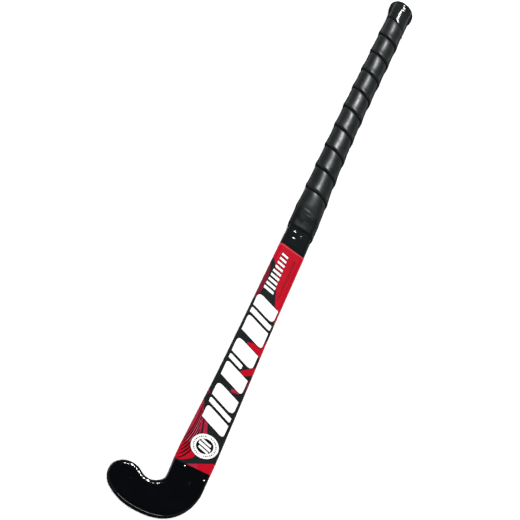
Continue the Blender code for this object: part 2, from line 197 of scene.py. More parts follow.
def hand(x, lift, a, rounder=0.0):
    """Point on the handle at turn angle a, lifted off the body; rounder 1 is a circle."""
    w, _, back, wide, face, edge = body(x)
    wide += ((back + face) / 2 - wide) * rounder
    c, s = math.cos(a), math.sin(a)
    if s >= 0:
        v = c * edge + math.copysign((w - edge) * min(1, abs(c) * 3), c)
        crown = CROWN * math.exp(-((x - CROWN_X) / CROWN_REACH) ** 2)
        z = wide + (face - wide) * s - crown * s * (v / w) ** 2
    else:
        v = math.copysign(abs(c) ** (2 / BACK_POWER), c) * w
        z = wide - (wide - back) * abs(s) ** (2 / BACK_POWER)
    n = Vector((c / w, s / (face - wide if s >= 0 else wide - back))).normalized()
    return place(x, v + n.x * lift, z + n.y * lift)


# --- materials ------------------------------------------------------------------
def material(name, colour, rough, metal=0.0, spec=0.5, sheen=0.0):
    """Plain Principled material, to which noise is added below."""
    mat = bpy.data.materials.new(name)
    mat.use_nodes = True
    shader = mat.node_tree.nodes["Principled BSDF"]
    shader.inputs["Base Color"].default_value = (*colour, 1)
    shader.inputs["Roughness"].default_value = rough
    shader.inputs["Metallic"].default_value = metal
    shader.inputs["Specular IOR Level"].default_value = spec
    shader.inputs["Sheen Weight"].default_value = sheen
    return mat


def node(mat, kind, **values):
    """New shader node with values for its sockets or settings."""
    n = mat.node_tree.nodes.new(kind)
    for key, value in values.items():
        if key in n.inputs:
            n.inputs[key].default_value = value
        else:
            setattr(n, key, value)
    return n


def link(mat, a, out, b, into):
    mat.node_tree.links.new(a.outputs[out], b.inputs[into])


def object_coords(mat, scale):
    coords = node(mat, "ShaderNodeTexCoord")
    mapping = node(mat, "ShaderNodeMapping")
    mapping.inputs["Scale"].default_value = scale
    link(mat, coords, "Object", mapping, "Vector")
    return mapping


def mottle(mat, scale, values, stretch=(1, 1, 1), detail=5.0, into="Base Color"):
    """Noise between two values into a shader socket; colours or plain numbers."""
    mapping = object_coords(mat, stretch)
    speckle = node(mat, "ShaderNodeTexNoise", Scale=scale, Detail=detail)
    link(mat, mapping, "Vector", speckle, "Vector")
    ramp = node(mat, "ShaderNodeValToRGB")
    for stop, position, value in zip(ramp.color_ramp.elements, (0.3, 0.7), values):
        stop.position = position
        stop.color = (*value, 1) if hasattr(value, "__len__") else (value, value, value, 1)
    link(mat, speckle, "Fac", ramp, "Fac")
    link(mat, ramp, "Color", mat.node_tree.nodes["Principled BSDF"], into)


def bump(mat, layers):
    """Stack of bumps: (noise, cells or a wave's direction, scale, stretch, strength, distance)."""
    shader = mat.node_tree.nodes["Principled BSDF"]
    last = None
    for kind, scale, stretch, strength, distance in layers:
        mapping = object_coords(mat, stretch)
        if kind == "noise":
            tex = node(mat, "ShaderNodeTexNoise", Scale=scale, Detail=4.0)
            out = "Fac"
        elif kind == "cells":
            tex = node(mat, "ShaderNodeTexVoronoi", Scale=scale)
            out = "Distance"
        else:
            tex = node(mat, "ShaderNodeTexWave", Scale=scale, bands_direction=kind)
            tex.inputs["Distortion"].default_value = 0.6
            out = "Fac"
        link(mat, mapping, "Vector", tex, "Vector")
        layer = node(mat, "ShaderNodeBump", Strength=strength, Distance=distance)
        link(mat, tex, out, layer, "Height")
        if last is not None:
            link(mat, last, "Normal", layer, "Normal")
        last = layer
    link(mat, last, "Normal", shader, "Normal")


lacquer = material("black_lacquer", (0.0007, 0.0011, 0.0018), 0.08)
mottle(lacquer, 60, (0.05, 0.11), into="Roughness")
bump(lacquer, [("noise", 55, (1, 1, 1), 0.12, 0.0006), ("noise", 420, (1, 1, 1), 0.05, 0.0002)])

# painted highlight: pale metallic colour on the lacquer drops, so that they show as bright glint dots
painted_glint_mat = material("painted_glint_specks", (0.5, 0.5, 0.5), 0.2, metal=1.0)
mottle(painted_glint_mat, 300, ((0.62, 0.62, 0.62), (0.42, 0.42, 0.42)))

bare = material("bare_lacquer", (0.0055, 0.0075, 0.0080), 0.12)
mottle(bare, 45, (0.08, 0.16), stretch=(0.4, 1, 1), into="Roughness")
bump(bare, [("noise", 70, (0.5, 1, 1), 0.25, 0.0008), ("noise", 600, (0.15, 1, 1), 0.1, 0.0002)])

# each print colour varies softly between two values
FILM_COLOURS = {
    "charcoal": ((0.0115, 0.0142, 0.0148), (0.0085, 0.0108, 0.0112)),
    "red": ((0.44, 0.0040, 0.016), (0.385, 0.0030, 0.013)),
    "dark_red": ((0.190, 0.010, 0.025), (0.145, 0.007, 0.018)),
    "rose": ((0.36, 0.016, 0.042), (0.29, 0.012, 0.032)),
    "pink": ((0.58, 0.09, 0.14), (0.50, 0.07, 0.11)),
    "white": ((0.86, 0.86, 0.85), (0.80, 0.80, 0.79)),
    "black": ((0.006, 0.006, 0.006), (0.004, 0.004, 0.004)),
}
film_mats = {}
for name, (one, two) in FILM_COLOURS.items():
    film_mats[name] = material("film_" + name, one, 0.18, spec=0.2)
    mottle(film_mats[name], 40, (one, two), stretch=(0.5, 1, 1))
    mottle(film_mats[name], 90, (0.15, 0.21), into="Roughness")
    bump(film_mats[name], [("noise", 260, (0.6, 1, 1), 0.06, 0.0003)])

grip_mat = material("cushion_grip", (0.012, 0.0145, 0.015), 0.31)
mottle(grip_mat, 70, ((0.0120, 0.0148, 0.0154), (0.0078, 0.0100, 0.0106)))
mottle(grip_mat, 120, (0.25, 0.33), into="Roughness")
bump(grip_mat, [("noise", 90, (1, 1, 1), 0.10, 0.0006), ("cells", 1500, (1, 1, 1), 0.05, 0.0002)])

# painted shade: near-black rough finish for the grip's seams, the closing tape's lower edge and the
# cap's groove, where shade falls
painted_shade_mat = material("painted_shade_seams", (0.005, 0.006, 0.006), 0.75, spec=0.2)
mottle(painted_shade_mat, 90, ((0.0060, 0.0068, 0.0068), (0.0035, 0.0042, 0.0042)))
bump(painted_shade_mat, [("noise", 500, (1, 1, 1), 0.2, 0.0003)])

tape_mat = material("closing_tape", (0.006, 0.008, 0.0085), 0.28, spec=0.4)
mottle(tape_mat, 80, ((0.0070, 0.0092, 0.0095), (0.0046, 0.0062, 0.0066)))
mottle(tape_mat, 100, (0.20, 0.34), into="Roughness")
bump(tape_mat, [("noise", 110, (1, 1, 1), 0.35, 0.0010), ("noise", 700, (1, 1, 1), 0.10, 0.0002)])

collar_mat = material("collar_tape", (0.010, 0.011, 0.012), 0.16)
mottle(collar_mat, 60, ((0.016, 0.018, 0.019), (0.008, 0.009, 0.010)))
mottle(collar_mat, 80, (0.07, 0.15), into="Roughness")
bump(collar_mat, [("noise", 120, (1, 1, 1), 0.22, 0.0008)])

cap_mat = material("cap_rubber", (0.014, 0.015, 0.016), 0.40, spec=0.45)
mottle(cap_mat, 90, ((0.020, 0.021, 0.022), (0.011, 0.012, 0.013)))
mottle(cap_mat, 60, (0.30, 0.50), into="Roughness")
bump(cap_mat, [("cells", 1200, (1, 1, 1), 0.12, 0.0003)])


# --- meshes ---------------------------------------------------------------------
def add(name, bm, mats, stands_for, smooth=40, tidy=1e-6):
    """Clean a mesh up and put it in the frame in place of its solid."""
    bmesh.ops.remove_doubles(bm, verts=bm.verts, dist=tidy)
    bmesh.ops.dissolve_degenerate(bm, dist=1e-7, edges=bm.edges)
    bmesh.ops.recalc_face_normals(bm, faces=bm.faces)
    mesh = bpy.data.meshes.new(name)
    bm.to_mesh(mesh)
    bm.free()
    obj = bpy.data.objects.new(name, mesh)
    bpy.context.scene.collection.objects.link(obj)
    for m in mats:
        mesh.materials.append(m)
    mesh.shade_smooth()
    mesh.set_sharp_from_angle(angle=math.radians(smooth))
    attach(obj, "root")
    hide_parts(*stands_for)


def skin_rings(bm, rings):
    """Faces between closed loops with the same number of points."""
    made = [[bm.verts.new(p) for p in loop] for loop in rings]
    for one, two in zip(made, made[1:]):
        n = len(one)
        for i in range(n):
            j = (i + 1) % n
            bm.faces.new((one[i], one[j], two[j], two[i]))
    return made


def around(x, depth, shift=0.0, inner=None):
    """Body outline in the frame; shift slants it, forward on one side and back on the other."""
    w = body(x, depth)[0]
    return [place(x + shift * v / w, v, z) for v, z in ring(x, depth, inner=inner)]


def crook_edge(x):
    """Softer rounding on the inside of the hook."""
    return EDGE_ROUND + (CROOK_ROUND - EDGE_ROUND) * blend((BEND_X + 14 * MM - x) / (30 * MM))


def span(a, b, step):
    """Even stations from a to b, at most a step apart."""
    n = max(1, math.ceil(abs(b - a) / step))
    return [a + (b - a) * k / n for k in range(n + 1)]


def bead(bm, x, v, along, across, height, turn=0.0):
    """Shallow drop of lacquer on the flat face, coloured with the painted glint; its half lengths and
    height are in mm.
    """
    c, s = math.cos(math.radians(turn)), math.sin(math.radians(turn))
    rows = []
    for k in range(7):
        f = 1 - k / 6.5
        row = []
        for j in range(20):
            a = 2 * math.pi * j / 20
            p, q = along * f * math.cos(a), across * f * math.sin(a)
            at = x + (p * c - q * s) * MM
            z = body(at)[4] + height * MM * (1 - f * f) - BEAD_SUNK
            row.append(place(at, (v + p * s + q * c) * MM, z))
        rows.append(row)
    first = len(bm.faces)
    made = skin_rings(bm, rows)
    bm.faces.new(list(reversed(made[0])))
    bm.faces.new(made[-1])
    bm.faces.ensure_lookup_table()
    # the drop takes the second material, the painted glint
    for f in bm.faces[first:]:
        f.material_index = 1


# drops of lacquer on the hook, coloured as painted glints: (x, v, radius) in mm
HOOK_BEADS = ((-395.8, 8.0, 1.3), (-403, -18.2, 1.3), (-414, -4.5, 0.4), (-496, 3.0, 0.45))
# and on the sleeve, also painted glints: (x, v, half length, half width, turn in degrees)
SLEEVE_BEADS = ((-11.3, 6.2, 0.9, 2.3, -8), (-21.5, 4.2, 0.9, 2.6, -8),
                (-14, -3.0, 0.22, 3.6, 10), (-17.5, -3.4, 0.18, 2.6, -15))


def hook_lacquer():
    """One glossy skin from the film's lower edge round to the toe."""
    bm = bmesh.new()
    rings = [around(FILM_LOW, 1.4 * MM)]
    rings += [around(x, 0.0, inner=crook_edge(x)) for x in span(FILM_LOW, BEND_X, 3 * MM)]
    rings += [around(x, 0.0, inner=crook_edge(x)) for x in span(BEND_X, TOE_X, 2.5 * MM)[1:]]
    reach = TOE_REACH / body(TOE_X)[0]
    steps = 12
    for k in range(1, steps + 1):
        a = math.pi / 2 * k / steps
        rings.append([place(TOE_X, v * math.cos(a), z, abs(v) * reach * math.sin(a))
                      for v, z in ring(TOE_X, inner=crook_edge(TOE_X))])
    made = skin_rings(bm, rings)
    bm.faces.new(list(reversed(made[0])))
    for x, v, r in HOOK_BEADS:
        bead(bm, x * MM, v, r, r, 0.12 * r)
    add("hook_lacquer", bm, [lacquer, painted_glint_mat], ["head_skin"])


def shaft_lacquer():
    """Sleeve round the shaft; it shows between the film and the grip."""
    bm = bmesh.new()
    rings = [around(x, 0.2 * MM) for x in span(FILM_LOW, FILM_TOP - 3 * FILM_SLANT, 12 * MM)]
    rings += [around(FILM_TOP + s, 0.2 * MM if s < 0 else 0.0, FILM_SLANT)
              for s in (-0.3 * MM, 0.0)]
    rings += [around(x, 0.0) for x in span(FILM_TOP + 2 * FILM_SLANT, SLEEVE_TOP, 3 * MM)]
    made = skin_rings(bm, rings)
    bm.faces.new(list(reversed(made[0])))
    bm.faces.new(made[-1])
    for x, v, along, across, turn in SLEEVE_BEADS:
        bead(bm, x * MM, v, along, across, 0.13 * along, turn)
    add("shaft_lacquer", bm, [bare, painted_glint_mat], ["fibreglass_sleeve"])


hook_lacquer()
shaft_lacquer()

# --- printed film ---------------------------------------------------------------
FLAT_Q = 0.86     # film coordinate at the end of the flat face


def film_q(x, v):
    """Coordinate across the film: 0 middle of the face, 1 widest line, 2 back ridge."""
    w, _, _, _, _, edge = body(x)
    m = abs(v)
    if m <= w - edge:
        q = FLAT_Q * m / (w - edge)
    else:
        q = 1 - (1 - FLAT_Q) * math.acos(min(1, (m - (w - edge)) / edge)) / (math.pi / 2)
    return math.copysign(min(q, 1.0), v)


ROWS = (5, 8, 10)     # rows of cells on the flat, round the edge and on the back
CELL = 0.3


def stretch(q):
    """Film coordinate spread so that every row of cells is one CELL wide."""
    m = abs(q)
    if m <= FLAT_Q:
        s = ROWS[0] * m / FLAT_Q
    elif m <= 1:
        s = ROWS[0] + ROWS[1] * (m - FLAT_Q) / (1 - FLAT_Q)
    else:
        s = ROWS[0] + ROWS[1] + ROWS[2] * (m - 1)
    return math.copysign(s * CELL, q)


def shrink(s):
    """Film coordinate back from the spread one."""
    m = abs(s) / CELL
    if m <= ROWS[0]:
        q = FLAT_Q * m / ROWS[0]
    elif m <= ROWS[0] + ROWS[1]:
        q = FLAT_Q + (1 - FLAT_Q) * (m - ROWS[0]) / ROWS[1]
    else:
        q = min(2.0, 1 + (m - ROWS[0] - ROWS[1]) / ROWS[2])
    return math.copysign(q, s)


def behind(s):
    """The same place on the other side, front to back."""
    q = shrink(s)
    return stretch(math.copysign(2 - abs(q), q))


def film_point(x, q, lift):
    """Point in the frame on the film at x and q."""
    w, _, back, wide, face, edge = body(x, -lift)
    m = min(abs(q), 2.0)
    if m <= FLAT_Q:
        v, z = (w - edge) * m / FLAT_Q, face
    elif m <= 1:
        a = (1 - m) / (1 - FLAT_Q) * math.pi / 2
        v, z = w - edge + edge * math.cos(a), wide + (face - wide) * math.sin(a)
    else:
        b = (m - 1) * math.pi / 2
        v = w * max(0.0, math.cos(b)) ** (2 / BACK_POWER)
        z = wide - (wide - back) * math.sin(b) ** (2 / BACK_POWER)
    return place(x, math.copysign(v, q), z)


def bez(a, b, c, d, n=10):
    """Points of a cubic curve, without its last one."""
    out = []
    for k in range(n):
        t = k / n
        s = 1 - t
        out.append(tuple(s ** 3 * a[i] + 3 * s * s * t * b[i] + 3 * s * t * t * c[i]
                         + t ** 3 * d[i] for i in range(2)))
    return out


def lines_open(a, b, step=4.0):
    """Straight run cut into short pieces, without its last point."""
    n = max(1, int(math.dist(a, b) / step))
    return [(a[0] + (b[0] - a[0]) * k / n, a[1] + (b[1] - a[1]) * k / n) for k in range(n)]


def lines(*pts, step=4.0):
    """Straight closed outline, cut into short pieces."""
    out = []
    for a, b in zip(pts, pts[1:] + pts[:1]):
        out += lines_open(a, b, step)
    return out


def grow(pts, d):
    """Outline moved outwards by d (points run one way round)."""
    area = sum(a[0] * b[1] - b[0] * a[1] for a, b in zip(pts, pts[1:] + pts[:1]))
    sign = 1 if area > 0 else -1
    out = []
    n = len(pts)
    for i in range(n):
        a, b, c = pts[i - 1], pts[i], pts[(i + 1) % n]
        t = Vector((c[0] - a[0], c[1] - a[1])).normalized()
        out.append((b[0] + sign * t.y * d, b[1] - sign * t.x * d))
    return out


SLOPE = 0.5       # the bars' slant: mm along the shaft per mm across


def slab(x0, x1, left, right, r):
    """Bold slanted bar with two opposite rounded corners; x falls towards the head."""
    def at(x, v):
        return (x + SLOPE * v, v)
    a, b, c, d = at(x0, left), at(x0, right), at(x1, right), at(x1, left)
    pts = bez(at(x0 - r, left), at(x0 - 0.3 * r, left), at(x0, left - 0.3 * r),
              at(x0, left - r), 6)
    pts += lines_open(at(x0, left - r), b)
    pts += lines_open(b, at(x1 + r, right))
    pts += bez(at(x1 + r, right), at(x1 + 0.3 * r, right), at(x1, right + 0.3 * r),
               at(x1, right + r), 6)
    pts += lines_open(at(x1, right + r), d)
    pts += lines_open(d, at(x0 - r, left))
    return pts


SHAPES = []
EDGE = 40.0       # mm, beyond any half width: the outline is cut at the widest line


def paint(colour, wraps, outline):
    """Print a shape over the earlier ones; wraps: it runs on round the back."""
    SHAPES.append((colour, wraps, outline))


# every outline below is made of (x, v) points in mm, along and across the stick
def upper_fields():
    """Red field that narrows to a wedge on the right, and a dark red strip on the left edge."""
    paint("red", True, lines_open((-30, EDGE), (-30, -EDGE), 6)
          + lines_open((-30, -EDGE), (-160, -EDGE), 6) + [(-160, -EDGE), (-160, -18.5)]
          + bez((-160, -18.5), (-140, -13), (-130, -8.5), (-118, -5.5))
          + bez((-118, -5.5), (-100, -1.5), (-84, 6), (-72, 11.5))
          + bez((-72, 11.5), (-66, 15), (-63, 17), (-58, 20)) + [(-58, EDGE)])
    paint("dark_red", True, [(-74, EDGE), (-74, 17)]
          + bez((-74, 16.5), (-90, 12.5), (-112, 12), (-128, 14.5)) + [(-134, 18), (-134, EDGE)])


def short_strokes():
    """Row of white strokes that grow towards the head, beside a row of small dark ticks."""
    lean = 0.35
    for k in range(9):
        x = -53.5 - 7.4 * k
        high, low, wide = 9.3 + 0.45 * k, 0.3 - 0.25 * k, 3.4 + 0.12 * k
        stroke = lines((x + lean * high, high), (x + lean * low, low),
                       (x - wide + lean * low, low), (x - wide + lean * high, high), step=3)
        paint("black", False, grow(stroke, 0.8))
        paint("white", False, stroke)
    for k in range(16):
        x = -57 - 4.2 * k
        paint("black", False, lines((x + 0.5, -8.2), (x - 0.7, -11.0), (x - 1.9, -11.0),
                                    (x - 0.7, -8.2), step=3))


def loose_pieces():
    """Red, dark red and rose pieces that show between and beside the big bars."""
    paint("red", True, [(-186, -EDGE), (-186, -18.6)]
          + bez((-186, -18.6), (-194, -14), (-198, -8), (-199, 3))
          + lines_open((-199, 3), (-217, -5)) + lines_open((-217, -5), (-210, -17))
          + [(-214, -18.8), (-236, -19.6), (-236, -EDGE)])
    paint("red", True, [(-229, -EDGE), (-229, -20)]
          + bez((-229, -19.4), (-234, -14), (-237, -9), (-243, -4))
          + bez((-243, -4), (-249, -6), (-248, -14), (-240, -19.6)) + [(-240, -EDGE)])
    paint("dark_red", True, [(-249, -EDGE), (-249, -18.2), (-268, -18.8), (-268, -EDGE)])
    paint("dark_red", True, [(-283, EDGE), (-283, 20), (-289, 17.5), (-294, 20), (-294, EDGE)])
    paint("rose", False, lines((-269.5, -12.5), (-271.5, -3), (-276, -4), (-274.5, -14)))
    paint("rose", False, lines((-327.0, 9.8), (-328.4, 5.2), (-345.5, -0.2), (-345.5, 4.9)))


def ribbon(a, b, c, d, half):
    """Thin tapering shape along a cubic curve."""
    mid = bez(a, b, c, d, 14) + [d]
    one, two = [], []
    for k, p in enumerate(mid):
        q = mid[min(k + 1, len(mid) - 1)]
        o = mid[max(k - 1, 0)]
        t = Vector((q[0] - o[0], q[1] - o[1])).normalized()
        h = half * (0.6 + 0.6 * k / len(mid)) * min(1.0, 4 * (1 - k / len(mid)))
        one.append((p[0] - t.y * h, p[1] + t.x * h))
        two.append((p[0] + t.y * h, p[1] - t.x * h))
    return one + two[::-1]


def strand(f):
    """Line of the sweeping fan; f 0 outermost, 1 innermost."""
    return ((-308 - 42 * f, 18.8 - 10.3 * f), (-330 - 32 * f, 17.6 - 10.6 * f),
            (-353 - 27 * f, 17.4 - 9.2 * f), (-364 - 27 * f, 23.6 - 2.9 * f))


def fan():
    """Sweeping fan on the left, down to the film's lower edge."""
    paint("rose", True, [(-303, EDGE), (-303, 19.6)]
          + bez((-303, 19.6), (-316, 16), (-330, 9.5), (-350, 7)) + [(-374, 12), (-378, EDGE)])
    for lo, hi in ((0.27, 0.32), (0.47, 0.52), (0.68, 0.72)):
        paint("pink", True, bez(*strand(lo)) + [strand(lo)[3], strand(hi)[3]]
              + bez(*strand(hi)[::-1]) + [strand(hi)[0]])
    paint("red", True, [(-364, EDGE), (-364, 22)]
          + bez((-364, 22), (-363, 14), (-362, 9), (-360, 4))
          + bez((-375, 1.5), (-382, 3), (-387, 9), (-392.4, 20)) + [(-392.4, EDGE)])
    for k in range(6):
        paint("black", True, ribbon(*strand(k / 5), 0.72 + 0.05 * k))


# big white bars: (upper end, lower end, left, right, corner radius) in mm
BARS = ((-130, -151, 15.6, -16.2, 9.0), (-155, -163, 15.6, -16.2, 2.5), (-167, -193, 15.6, -16.2, 6.0),
        (-204, -228, 15.8, -16.2, 9.0), (-232, -239, 15.8, -4.0, 2.5), (-243, -266, 15.8, -17.0, 6.0),
        (-276, -297, 15.2, -17.6, 9.0), (-301, -308, 15.0, -18.0, 2.5), (-312, -331, 14.6, -18.4, 6.0))


def bars():
    """White slanted bars, each with a black outline."""
    for bar in BARS:
        paint("black", False, grow(slab(*bar), 0.9))
        paint("white", False, slab(*bar))


def end_marks():
    """Red triangle with a rose tip at the lower end, and a pale line under the upper edge."""
    paint("red", True, [(-376, -EDGE), (-376, -23)] + lines_open((-376, -23), (-391.6, 6.5))
          + [(-391.6, 6.5), (-400, 6.5), (-400, -EDGE)])
    paint("rose", False, [(-391.0, 5.4), (-386.5, -3), (-400, -9), (-400, 6)])
    half = 18
    upper = [(half - k, 0) for k in range(2 * half + 1)]
    lower = [(k - half, 0.9) for k in range(2 * half + 1)]
    paint("pink", True, [(-39.5 + 4 * v / half - 1.4 - d, v) for v, d in upper + lower])


upper_fields()
short_strokes()
loose_pieces()
fan()
bars()
end_marks()


def film_outline(pts):
    """Outline in stretched film coordinates; kept inside the film."""
    ends = []
    for x, v in pts:
        x = min(max(x * MM, FILM_LOW - 2 * MM), FILM_TOP + 2 * FILM_SLANT)
        half = body(x)[0]
        ends.append((x, stretch(film_q(x, min(max(v * MM, -half), half)))))
    out = []
    for (x0, s0), (x1, s1) in zip(ends, ends[1:] + ends[:1]):
        n = max(1, math.ceil(abs(s1 - s0) / CELL), math.ceil(abs(x1 - x0) / FILM_STEP))
        out += [(round(x0 + (x1 - x0) * k / n, 5), round(s0 + (s1 - s0) * k / n, 3))
                for k in range(n)]
    return out


def inside(p, poly):
    """Whether a point lies in a closed outline."""
    hit = False
    for (ax, ay), (bx, by) in zip(poly, poly[1:] + poly[:1]):
        if (ay > p[1]) != (by > p[1]) and p[0] < ax + (p[1] - ay) * (bx - ax) / (by - ay):
            hit = not hit
    return hit


def film_top(q):
    """Slanted upper edge of the film."""
    m = min(abs(q), 2 - abs(q))
    return FILM_TOP + FILM_SLANT * math.copysign(m, q)


def build_film():
    """Film cut into cells and coloured shapes, wrapped round the shaft."""
    rows = [CELL * k for k in range(-sum(ROWS), sum(ROWS) + 1)]
    verts = []
    edges = []
    scale = CELL / FILM_STEP

    def chain(pts, closed=True):
        first = len(verts)
        verts.extend(Vector((x * scale, s)) for x, s in pts)
        n = len(pts)
        edges.extend((first + i, first + (i + 1) % n) for i in range(n if closed else n - 1))

    columns = span(FILM_LOW, FILM_TOP + 2 * FILM_SLANT, FILM_STEP)
    for s in rows:
        chain([(x, s) for x in columns], closed=False)
    chain([(FILM_LOW, s) for s in rows], closed=False)
    chain([(film_top(shrink(s)), s) for s in rows], closed=False)
    shapes = []
    for colour, wraps, pts in SHAPES:
        poly = film_outline(pts)
        shapes.append((colour, wraps, poly, min(p[0] for p in poly), max(p[0] for p in poly)))
        chain(poly)
        if wraps:
            chain([(x, behind(s)) for x, s in poly])
    points, _, triangles = delaunay_2d_cdt(verts, edges, [], 0, 1e-4)[:3]
    names = list(FILM_COLOURS)
    bm = bmesh.new()
    corners = [bm.verts.new(film_point(p.x / scale, shrink(p.y), FILM_PROUD)) for p in points]
    widest = stretch(1.0)
    for tri in triangles:
        cx = sum(points[i].x for i in tri) / 3 / scale
        cs = sum(points[i].y for i in tri) / 3
        if cx < FILM_LOW or cx > film_top(shrink(cs)):
            continue
        back = abs(cs) > widest
        at = behind(cs) if back else cs
        colour = "charcoal"
        for name, wraps, poly, lo, hi in shapes:
            if (wraps or not back) and lo <= cx <= hi and inside((cx, at), poly):
                colour = name
        bm.faces.new([corners[i] for i in tri]).material_index = names.index(colour)
    loose = [v for v in bm.verts if not v.link_faces]
    bmesh.ops.delete(bm, geom=loose, context="VERTS")
    # turned-down lips at both ends
    bmesh.ops.remove_doubles(bm, verts=bm.verts, dist=1e-6)
    rim = [e for e in bm.edges if len(e.link_faces) == 1]
    grown = bmesh.ops.extrude_edge_only(bm, edges=rim)
    mid = (FILM_LOW + FILM_TOP) / 2 - SHIFT.x
    for vert in grown["geom"]:
        if isinstance(vert, bmesh.types.BMVert):
            middle = place(vert.co.x + SHIFT.x, 0.0, 13 * MM)
            inwards = Vector((0, middle.y - vert.co.y, middle.z - vert.co.z)).normalized()
            vert.co += inwards * (FILM_PROUD + LIP)
            vert.co.x += 0.12 * MM * (1 if vert.co.x > mid else -1)
    add("printed_film", bm, [film_mats[n] for n in names],
        ["graphic_film"], smooth=35, tidy=1e-7)


build_film()


# --- round badge ----------------------------------------------------------------
def round_sticker():
    """White disc with a ring of small marks and a dark middle crossed by three bars."""
    verts, edges, shapes = [], [], []

    def chain(colour, pts):
        first = len(verts)
        verts.extend(Vector(p) for p in pts)
        n = len(pts)
        edges.extend((first + i, first + (i + 1) % n) for i in range(n))
        shapes.append((colour, [tuple(p) for p in pts]))

    def circle(r, n):
        return [(r * math.cos(2 * math.pi * j / n), r * math.sin(2 * math.pi * j / n))
                for j in range(n)]

    rim = BADGE_R / MM
    chain("black", circle(rim, 96))
    chain("white", circle(rim - 0.35, 96))
    # small marks round the rim, with a gap on either side
    for k in range(34):
        if k % 17 in (0, 16):
            continue
        t = 2 * math.pi * (k + 0.5) / 34
        c, n = (math.cos(t), math.sin(t)), (-math.sin(t), math.cos(t))
        h = 0.62 + 0.2 * math.sin(k * 2.4)
        chain("charcoal", [(c[0] * (13.4 + u) + n[0] * v, c[1] * (13.4 + u) + n[1] * v)
                           for u, v in ((-0.9, -h), (0.9, -h), (0.9, h), (-0.9, h))])
    chain("black", circle(10.4, 72))
    for mid, half, reach in ((-5.2, 1.5, 6.6), (0.0, 1.9, 8.2), (5.2, 1.5, 6.6)):
        chain("white", [(mid + u + 0.35 * v, v) for u, v in ((-half, -reach), (half, -reach),
                                                             (half, reach), (-half, reach))])
    points, _, triangles = delaunay_2d_cdt(verts, edges, [], 1, 1e-4)[:3]
    top = body(BADGE_X)[4] + BADGE_PROUD
    bm = bmesh.new()
    names = ["white", "black", "charcoal"]

    def at(x, y, z):
        return Vector((BADGE_X + x * MM, BADGE_Y + y * MM, z)) - SHIFT

    corners = [bm.verts.new(at(p.x, p.y, top)) for p in points]
    for tri in triangles:
        mid = sum((points[i] for i in tri), Vector((0, 0))) / len(tri)
        colour = "white"
        for name, poly in shapes:
            if inside(mid, poly):
                colour = name
        bm.faces.new([corners[i] for i in tri]).material_index = names.index(colour)
    rows = [[at(p[0], p[1], z) for p in circle(r, 96)]
            for r, z in ((rim, top), (rim + 0.06, top - 0.06 * MM), (rim + 0.06, top - BADGE_PROUD))]
    first = len(bm.faces)
    skin_rings(bm, rows)
    bm.faces.ensure_lookup_table()
    for f in bm.faces[first:]:
        f.material_index = 1
    add("round_sticker", bm, [film_mats[n] for n in names], ["round_badge"],
        smooth=50)


round_sticker()


# --- grip -----------------------------------------------------------------------
def grip_lift(x):
    """Height of the grip's surface above the body."""
    return GAP + GRIP_EDGE + (GRIP_T - GRIP_EDGE) * blend((x - GRIP_END_X) / GRIP_PARED)


def slanted(mid):
    """Edge of the wrap as a function of the turn angle."""
    return lambda a: mid + SEAM_SLANT * math.cos(a)


def crease(x, a, amount):
    """Small unevenness of a hand-wound wrap."""
    p = Vector((x * 55, math.cos(a) * 1.3, math.sin(a) * 1.3))
    return amount * noise.noise(p)


# one turn of the wrap from its lower to its upper edge: (share of the pitch, rise in mm)
PROFILE = ((0.0, -1.9), (0.003, -0.9), (0.006, 0.0), (0.014, 0.55), (0.03, 0.98), (0.06, 1.15),
           (0.11, 0.98), (0.20, 0.62), (0.32, 0.30), (0.46, 0.10), (0.6, -0.02), (0.74, -0.14),
           (0.85, -0.30), (0.92, -0.52), (0.96, -0.78), (0.985, -1.1), (1.01, -1.5), (1.02, -1.9))


def cushion_grip():
    """Spiral strip wound up the handle, cut off at both ends along a slant."""
    floor_edge, top_edge = slanted(SEAM_X), slanted(COLLAR_X)
    rows = []
    k = 0
    while True:
        a = math.pi / 2 + 2 * math.pi - k * 2 * math.pi / ROUND_STEPS
        low = SEAM_X + PITCH * (math.pi / 2 - a) / (2 * math.pi)
        high = low + PITCH
        k += 1
        low = max(low, floor_edge(a) - 2 * MM)
        high = min(high, top_edge(a) + 2 * MM)
        if high - low < 2 * MM:
            if rows:
                break
            continue
        row = []
        for f, rise in PROFILE:
            x = low + (high - low) * f + crease(a * 0.01, a * 0.7, 0.6 * MM) * (1 - f)
            calm = min(1.0, max(0.0, (x - TAPE_HIGH + 2 * MM) / (10 * MM)))
            calm *= 1 - 0.35 * max(0.0, -math.sin(a))
            rise = min(rise, 0.0) + max(rise, 0.0) * calm
            row.append(hand(x, grip_lift(x) + rise * MM + crease(x, a, 0.14 * MM), a))
        rows.append(row)
    bm = bmesh.new()
    skin_rings(bm, rows)
    dark = len(PROFILE) - 1
    bm.faces.ensure_lookup_table()
    # faces along the edges of each turn take the painted shade, a dark band at every seam
    for n, f in enumerate(bm.faces):
        if n % len(PROFILE) in (0, 1, dark - 4, dark - 3, dark - 2, dark - 1, dark):
            f.material_index = 1
    bm.verts.ensure_lookup_table()
    wide = len(PROFILE)
    bm.faces.new([bm.verts[i] for i in reversed(range(wide))])
    bm.faces.new([bm.verts[len(bm.verts) - wide + i] for i in range(wide)])
    add("cushion_wrap", bm, [grip_mat, painted_shade_mat], ["cushion_grip"], smooth=80)


